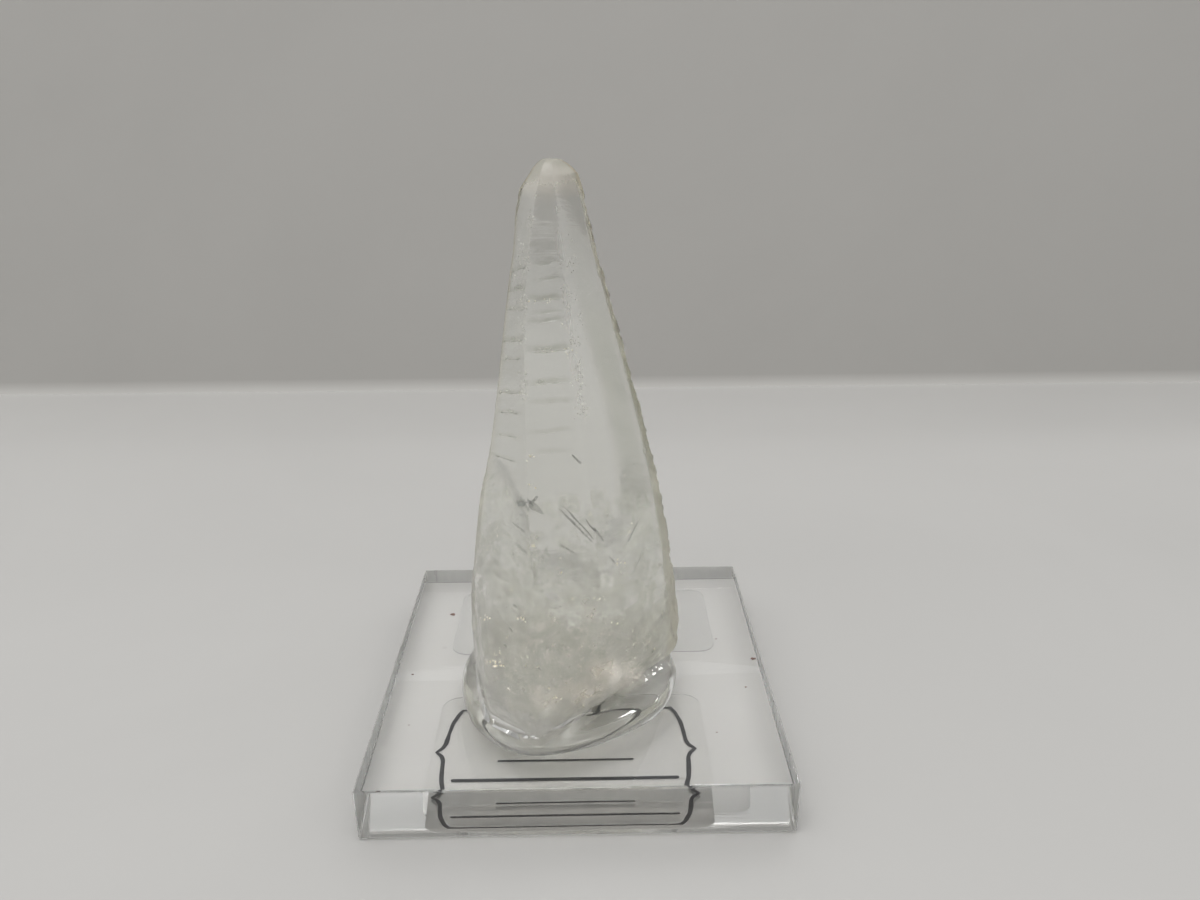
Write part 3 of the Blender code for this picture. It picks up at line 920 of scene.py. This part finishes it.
def makeBlock():
    bm = bmesh.new()
    bmesh.ops.create_cube(bm, size=1.0)
    for vert in bm.verts:
        vert.co.x = blockHigh.x if vert.co.x > 0 else blockLow.x
        vert.co.y = blockHigh.y if vert.co.y > 0 else blockLow.y
        vert.co.z = blockTop if vert.co.z > 0 else block["bottom"]
    bmesh.ops.bevel(bm, geom=bm.edges[:], offset=block["bevel"], segments=4, profile=0.5,
                    affect="EDGES", material=-1)
    for face in bm.faces:
        if face.calc_area() > block["bigFace"] and (abs(face.normal.x) > 0.9 or face.normal.y > 0.9):
            face.material_index = 1  # the two sides and the back are sawn, the front is polished
        elif face.calc_area() > block["bigFace"] and face.normal.y < -0.9:
            face.material_index = 2
    clear = clearMaterial("clearAcrylic", block["tint"], block["ior"], *block["wear"])
    # the polished front gets the darker tint: painted shade on the view through the front face
    front = clearMaterial("shadedPolishedAcrylic", block["frontShadeTint"], block["ior"], *block["wear"])
    finishPiece("acrylicBlock", bm, [clear, makeSawnEdge(), front], nodes=("acrylic_base",), sharp=12.0)


labels = {  # under the block; left, right, near and far edge of each
    "corner": 2.0,
    "front": (-15.7, 14.0, -20.6, -3.5),
    "rear": (-16.1, 17.2, 5.0, 19.6),
    "borderMiddle": (-1.34, -12.75),
    "borderWidth": 0.46,
    "straightShare": 0.45,  # the straight top and bottom lines are thinner than the brackets
    "borderSway": (0.35, 0.05),       # how uneven the border's width is, and how far it wanders
    "inkDepth": 0.03,
    "filmTint": (0.975, 0.975, 0.97, 1.0),
    "filmWear": (0.0, 0.06, 90.0, 0.002),
    "rules": ((-13.2, 10.5, -17.0, 0.42), (-8.6, 5.9, -14.2, 0.24)),  # left, right, y, width
}
borderQuarter = ((0.0, 6.85), (6.0, 6.85), (11.9, 6.85), (12.35, 6.0), (12.8, 4.4), (12.98, 2.8),
                 (13.1, 1.3), (13.35, 0.65), (13.95, 0.0))


def borderPath():
    # one quarter of the bracket border, mirrored to the other three
    right = list(borderQuarter) + [(x, -y) for x, y in reversed(borderQuarter[:-1])]
    whole = right + [(-x, y) for x, y in reversed(right[1:-1])]
    points = []
    for (x, y), (nextX, nextY) in zip(whole, whole[1:] + whole[:1]):
        length = math.dist((x, y), (nextX, nextY))
        parts = max(2, round(length / 0.5))
        points += [Vector((x + (nextX - x) * k / parts, y + (nextY - y) * k / parts)) for k in range(parts)]
    return points


def makeLabels():
    for name, node, share in (("front", "front_label", 1.0), ("rear", "rear_label", 0.9)):
        film = clearMaterial(f"{name}FilmClear", labels["filmTint"], block["ior"], *labels["filmWear"],
                             share=share)
        bm = roundPlate(*labels[name], 0.0, block["bottom"] + dip, labels["corner"])
        finishPiece(f"{name}Film", bm, [film], nodes=(node,))

    ink = mottledFinish("blackInk", 1500.0, ((0.008, 0.008, 0.010), (0.03, 0.03, 0.032)),
                        marks=(0.35, 0.7), by="Clouds", Roughness=0.5)[0]
    middle = Vector(labels["borderMiddle"])
    uneven, wandering = labels["borderSway"]
    path = borderPath()
    sides = {1: [], -1: []}
    for i, point in enumerate(path):
        run = (path[(i + 1) % len(path)] - path[i - 1]).normalized()
        across = Vector((run.y, -run.x))
        half = labels["borderWidth"] / 2 * (1 + uneven * noise.noise(Vector((point.x, point.y, 0)) * 0.9))
        straight = smoothStep(6.0, 6.8, abs(point.y)) * smoothStep(12.2, 11.0, abs(point.x))
        half *= 1 - (1 - labels["straightShare"]) * straight
        wander = wandering * noise.noise(Vector((point.x, point.y, 4)) * 0.7)
        for way in sides:
            sides[way].append(middle + point + across * (half * way + wander))
    bottom = block["bottom"] + dip + 0.005
    top = bottom + labels["inkDepth"]
    rings = [[(*p, bottom) for p in sides[1]], [(*p, top) for p in sides[1]],
             [(*p, top) for p in sides[-1]], [(*p, bottom) for p in sides[-1]]]
    finishPiece("labelBorder", raiseRings(rings, joinEnds=True), [ink])
    for number, (left, right, y, width) in enumerate(labels["rules"], 1):
        bm = roundPlate(left, right, y - width / 2, y + width / 2, bottom, top, width * 0.45, 3)
        finishPiece(f"labelRule{number}", bm, [ink])


puddle = {  # the adhesive
    "middle": (-1.2, -3.9),
    "radii": (12.4, 12.5, 13.5, 14.0, 12.8, 12.0, 12.3, 12.4, 13.0, 13.1, 12.9, 12.8, 12.9, 13.2, 13.0),
    "segments": 150,
    "rim": (0.75, 0.28),   # height and how far inward it is nearly reached, of the rounded rim
    "dome": (0.8, 3.2),    # and of the low dome inside it
    "climb": (0.6, 0.9),   # how high it climbs up the crystal, and from how far
    "sway": (0.06, 0.35),  # depth and closeness of its slow waves
    "shares": (0.998, 0.995, 0.99, 0.985, 0.98, 0.97, 0.96, 0.945, 0.925, 0.9, 0.87, 0.84, 0.8, 0.76,
               0.7, 0.62, 0.5, 0.35, 0.15),      # the rings, as shares of the rim's radius
    "footTop": 13,         # the crystal's foot is cut out of it up to here
    "tint": (0.90, 0.90, 0.89, 1.0),
    "ior": 1.48,
    "wear": (0.0, 0.05, 120.0, 0.003),
}


def rimRadius(azimuth):
    radii = puddle["radii"]
    count = len(radii)
    turn = (azimuth / math.tau + 0.5) * count
    first = math.floor(turn)
    t = turn - first
    a, b, c, d = (radii[(first + k) % count] for k in (-1, 0, 1, 2))
    return b + 0.5 * t * (c - a + t * (2 * a - 5 * b + 4 * c - d + t * (3 * (b - c) + d - a)))


def distanceToSection(point, section):
    nearest = 1e9
    for a, b in zip(section, section[1:] + section[:1]):
        run = b - a
        t = min(1.0, max(0.0, (point - a).dot(run) / run.length_squared))
        nearest = min(nearest, (point - a - run * t).length)
    return nearest


def makePuddle():
    middle = Vector(puddle["middle"])
    section = [point.xy for point in crystalRing(8.2, [])]
    spokes = []
    for k in range(puddle["segments"]):
        azimuth = math.tau * k / puddle["segments"] - math.pi
        spokes.append((Vector((math.cos(azimuth), math.sin(azimuth))), rimRadius(azimuth)))
    rings = [[Vector((*(middle + way * radius), height)) for way, radius in spokes]
             for height in (blockTop - dip, blockTop)]
    climb, climbReach = puddle["climb"]
    swayDepth, swayScale = puddle["sway"]
    for share in puddle["shares"]:
        ring = []
        for way, radius in spokes:
            flat = middle + way * radius * share
            inward = radius * (1 - share)
            near = distanceToSection(flat, section)
            height = sum(rise * (1 - math.exp(-inward / reach))
                         for rise, reach in (puddle["rim"], puddle["dome"]))
            height += climb * math.exp(-near / climbReach) * smoothStep(0.0, 1.2, inward)
            height += swayDepth * noise.noise(Vector((flat.x, flat.y, 9)) * swayScale)
            ring.append(Vector((*flat, blockTop + max(0.02, height))))
        rings.append(ring)
    foot = raiseRings([crystalRing(z, [], inset=dip) for z in ringHeights() if z < puddle["footTop"]])
    for vert in foot.verts:
        vert.co.z += dip
    gel = carve(raiseRings(rings), foot)
    finish = clearMaterial("clearAdhesive", puddle["tint"], puddle["ior"], *puddle["wear"])
    finishPiece("adhesivePuddle", gel, [finish], nodes=("adhesive",), sharp=50.0)


specks = (  # dust on the block: x, y, size
    (-16.6, 10.0, 0.28), (21.1, -0.9, 0.26), (19.3, -6.4, 0.1), (-19.6, -3.0, 0.12), (17.2, 3.5, 0.1),
    (14.9, -14.2, 0.08), (-14.2, 15.7, 0.09), (12.6, 8.9, 0.08), (-18.4, -12.2, 0.07),
)


def makeSpecks():
    grit = mottledFinish("brownGrit", 3000.0, ((0.07, 0.045, 0.035), (0.22, 0.13, 0.11)), by="Clouds",
                         Roughness=0.8)[0]
    bm = bmesh.new()
    for x, y, size in specks:
        lump = bmesh.ops.create_icosphere(bm, subdivisions=2, radius=size)["verts"]
        for vert in lump:
            vert.co *= 1 + 0.5 * noise.noise(vert.co / size * 1.4 + Vector((x, y, 0)))
            vert.co = Vector((vert.co.x * 1.3 + x, vert.co.y * 0.8 + y,
                              vert.co.z * 0.45 + blockTop + size * 0.3))
    finishPiece("dustSpecks", bm, [grit])


studio = {  # floor, backdrop and light, in metres
    "reach": 0.9,          # of the floor and the wall, to each side
    "floorAt": -1e-5,
    "wallAt": 0.126,
    "wallHigh": 0.094,
    "floorTone": (0.445, 0.438, 0.424),
    "wallTone": (0.455, 0.445, 0.425),
    "footLightTone": (0.68, 0.67, 0.645),
    "underTone": (0.508, 0.50, 0.485),
    "wallSideLight": 1.16,      # painted light: how much paler the floor is painted at the wall, which takes away light
    "paleFrom": 19.0,      # in millimetres from the middle, where the paler patch under the block is full
    "sweep": 0.0033,       # painted light: how far the paler foot runs up the wall, where the wall gets less light
    "sweepFloor": 0.09,
    "worldStrength": 0.93,
}
skyStops = (  # brightness by the sine of the height above the horizon
    (0.0, 0.36), (0.5, 0.42), (0.64, 0.62), (0.8, 1.1), (1.0, 1.1),
)
lamps = (  # name, place, aim, size, power, and whether the glass shows it; three only glint on the adhesive
    ("softTop", (-0.08, -0.12, 0.60), (0, 0, 0.02), (0.35, 0.3), 1.25, True),
    ("roundGlint", (0.194, 0.213, 0.284), (0, 0, 0), (0.02, 0.02), 0.03, False),
    ("streakGlint", (0.108, 0.226, 0.372), (0, 0, 0), (0.035, 0.02), 0.05, False),
    ("leftGlint", (-0.273, 0.087, 0.288), (0, 0, 0), (0.02, 0.008), 0.006, False),
)


def makeStage():
    at, high, floorAt, reach = (studio[key] for key in ("wallAt", "wallHigh", "floorAt", "reach"))
    # painted light: the floor is painted paler towards the wall
    wallSideLight = tuple(studio["wallSideLight"] * tone for tone in studio["floorTone"])
    plans = (  # name, low and high corner, the axis that the two tones meet along, from and to, tones
        ("floorSheet", (-reach, -reach, floorAt), (reach, reach, floorAt), "Y",
         at - studio["sweepFloor"], at, studio["floorTone"], wallSideLight),
        # painted light: the wall's foot is painted paler
        ("backWall", (-reach, at, floorAt), (reach, at, high), "Z", 0.0, studio["sweep"],
         studio["footLightTone"], studio["wallTone"]),
    )
    for name, low, high, axis, start, end, firstTone, lastTone in plans:
        material, tree, shader = newMaterial(name, Roughness=0.7)
        clouds = useGroup(tree, cloudGroup, Scale=9.0, Stretch=1.0)
        place = addNode(tree, "ShaderNodeTexCoord").outputs["Object"]
        apart = addNode(tree, "ShaderNodeSeparateXYZ", {"Vector": place})
        blend = addNode(tree, "ShaderNodeMapRange", {"Value": apart.outputs[axis], "From Min": start,
                                                     "From Max": end})
        tone = ramp(tree, blend.outputs[0], ((0.0, firstTone), (1.0, lastTone)))
        cloudy = ramp(tree, clouds.outputs["Clouds"], ((0.3, 0.95), (0.7, 1.0)))
        shade = multiplied(tree, tone, cloudy)
        if name == "floorSheet":
            # paler under the block, which takes away some of the light
            near = addNode(tree, "ShaderNodeVectorMath", {"Vector": place}, operation="ABSOLUTE")
            apart = addNode(tree, "ShaderNodeSeparateXYZ", {"Vector": near.outputs[0]})
            away = addNode(tree, "ShaderNodeMath", {0: apart.outputs["X"], 1: apart.outputs["Y"]},
                           operation="MAXIMUM")
            under = addNode(tree, "ShaderNodeMapRange", {"Value": away.outputs[0],
                                                         "From Min": blockHigh.x * mm,
                                                         "From Max": studio["paleFrom"] * mm})
            mixed = addNode(tree, "ShaderNodeMix", data_type="RGBA")
            tree.links.new(under.outputs[0], mixed.inputs["Factor"])
            tree.links.new(shade, mixed.inputs["A"])
            mixed.inputs["B"].default_value = (*studio["underTone"], 1.0)
            shade = mixed.outputs["Result"]
        tree.links.new(shade, shader.inputs["Base Color"])
        grain = addNode(tree, "ShaderNodeBump", {"Strength": 0.05, "Distance": 0.0002,
                                                 "Height": clouds.outputs["Grain"]})
        tree.links.new(grain.outputs[0], shader.inputs["Normal"])
        bm = bmesh.new()
        bmesh.ops.create_grid(bm, x_segments=1, y_segments=1, size=0.5)
        for vert in bm.verts:
            x, y = vert.co.x + 0.5, vert.co.y + 0.5
            vert.co = (low[0] + (high[0] - low[0]) * x, low[1] + (high[1] - low[1]) * y,
                       low[2] + (high[2] - low[2]) * y)
        mesh = bpy.data.meshes.new(name)
        bm.to_mesh(mesh)
        bm.free()
        mesh.materials.append(material)
        sheet = bpy.data.objects.new(name, mesh)
        bpy.context.scene.collection.objects.link(sheet)


def addLamp(name, place, aim, size, power, seenThroughGlass):
    data = bpy.data.lights.new(name, "AREA")
    data.shape = "RECTANGLE"
    data.size, data.size_y = size
    data.energy = power
    lamp = bpy.data.objects.new(name, data)
    bpy.context.scene.collection.objects.link(lamp)
    lamp.location = place
    lamp.rotation_euler = (Vector(aim) - Vector(place)).to_track_quat("-Z", "Y").to_euler()
    lamp.visible_transmission = seenThroughGlass


def makeLight():
    world = bpy.data.worlds.new("studioWorld")
    bpy.context.scene.world = world
    world.use_nodes = True
    tree = world.node_tree
    way = addNode(tree, "ShaderNodeTexCoord").outputs["Generated"]
    high = addNode(tree, "ShaderNodeSeparateXYZ", {"Vector": way}).outputs["Z"]
    half = addNode(tree, "ShaderNodeMath", {0: high, 1: 0.5, 2: 0.5}, operation="MULTIPLY_ADD")
    shade = ramp(tree, half.outputs[0], skyStops)
    tree.links.new(shade, tree.nodes["Background"].inputs["Color"])
    tree.nodes["Background"].inputs["Strength"].default_value = studio["worldStrength"]
    for lamp in lamps:
        addLamp(*lamp)


def makeCamera():
    pitch, yaw, roll = (math.radians(view[key]) for key in ("pitch", "yaw", "roll"))
    ahead = Vector((math.sin(yaw) * math.cos(pitch), math.cos(yaw) * math.cos(pitch), -math.sin(pitch)))
    right = Vector((math.cos(yaw), -math.sin(yaw), 0.0))
    up = right.cross(ahead)
    rolledRight = right * math.cos(roll) + up * math.sin(roll)
    rolledUp = up * math.cos(roll) - right * math.sin(roll)
    turn = Matrix((rolledRight, rolledUp, -ahead)).transposed().to_4x4()
    data = bpy.data.cameras.new("photoView")
    data.sensor_width = view["sensor"]
    data.lens = view["sensor"] * view["focal"] / view["imageWidth"]
    data.clip_start = 0.001
    camera = bpy.data.objects.new("photoView", data)
    bpy.context.scene.collection.objects.link(camera)
    camera.matrix_world = Matrix.Translation(Vector(view["place"]) * mm) @ turn
    bpy.context.scene.camera = camera
    scene = bpy.context.scene
    scene.view_settings.view_transform = "Standard"
    scene.cycles.blur_glossy = 0.0  # keeps the light under the clear block
    scene.cycles.max_bounces = view["clearBounces"]
    scene.cycles.transmission_bounces = view["clearBounces"]
    scene.cycles.glossy_bounces = view["clearBounces"]
    scene.cycles.transparent_max_bounces = view["veilBounces"]  # the veils lie many deep


makeCamera()
makeLight()
makeStage()
print("stage, light and camera are in place")
makeBlock()
makeLabels()
makeSpecks()
print("block, labels and specks are in place")
makePuddle()
print("adhesive is in place")
skin = makeCrystal()
makeVeils()
makeLobes(skin)
makeGlints(skin)
makeGrains(skin)
makeCracks(skin)
print("crystal and its inner flaws are in place")
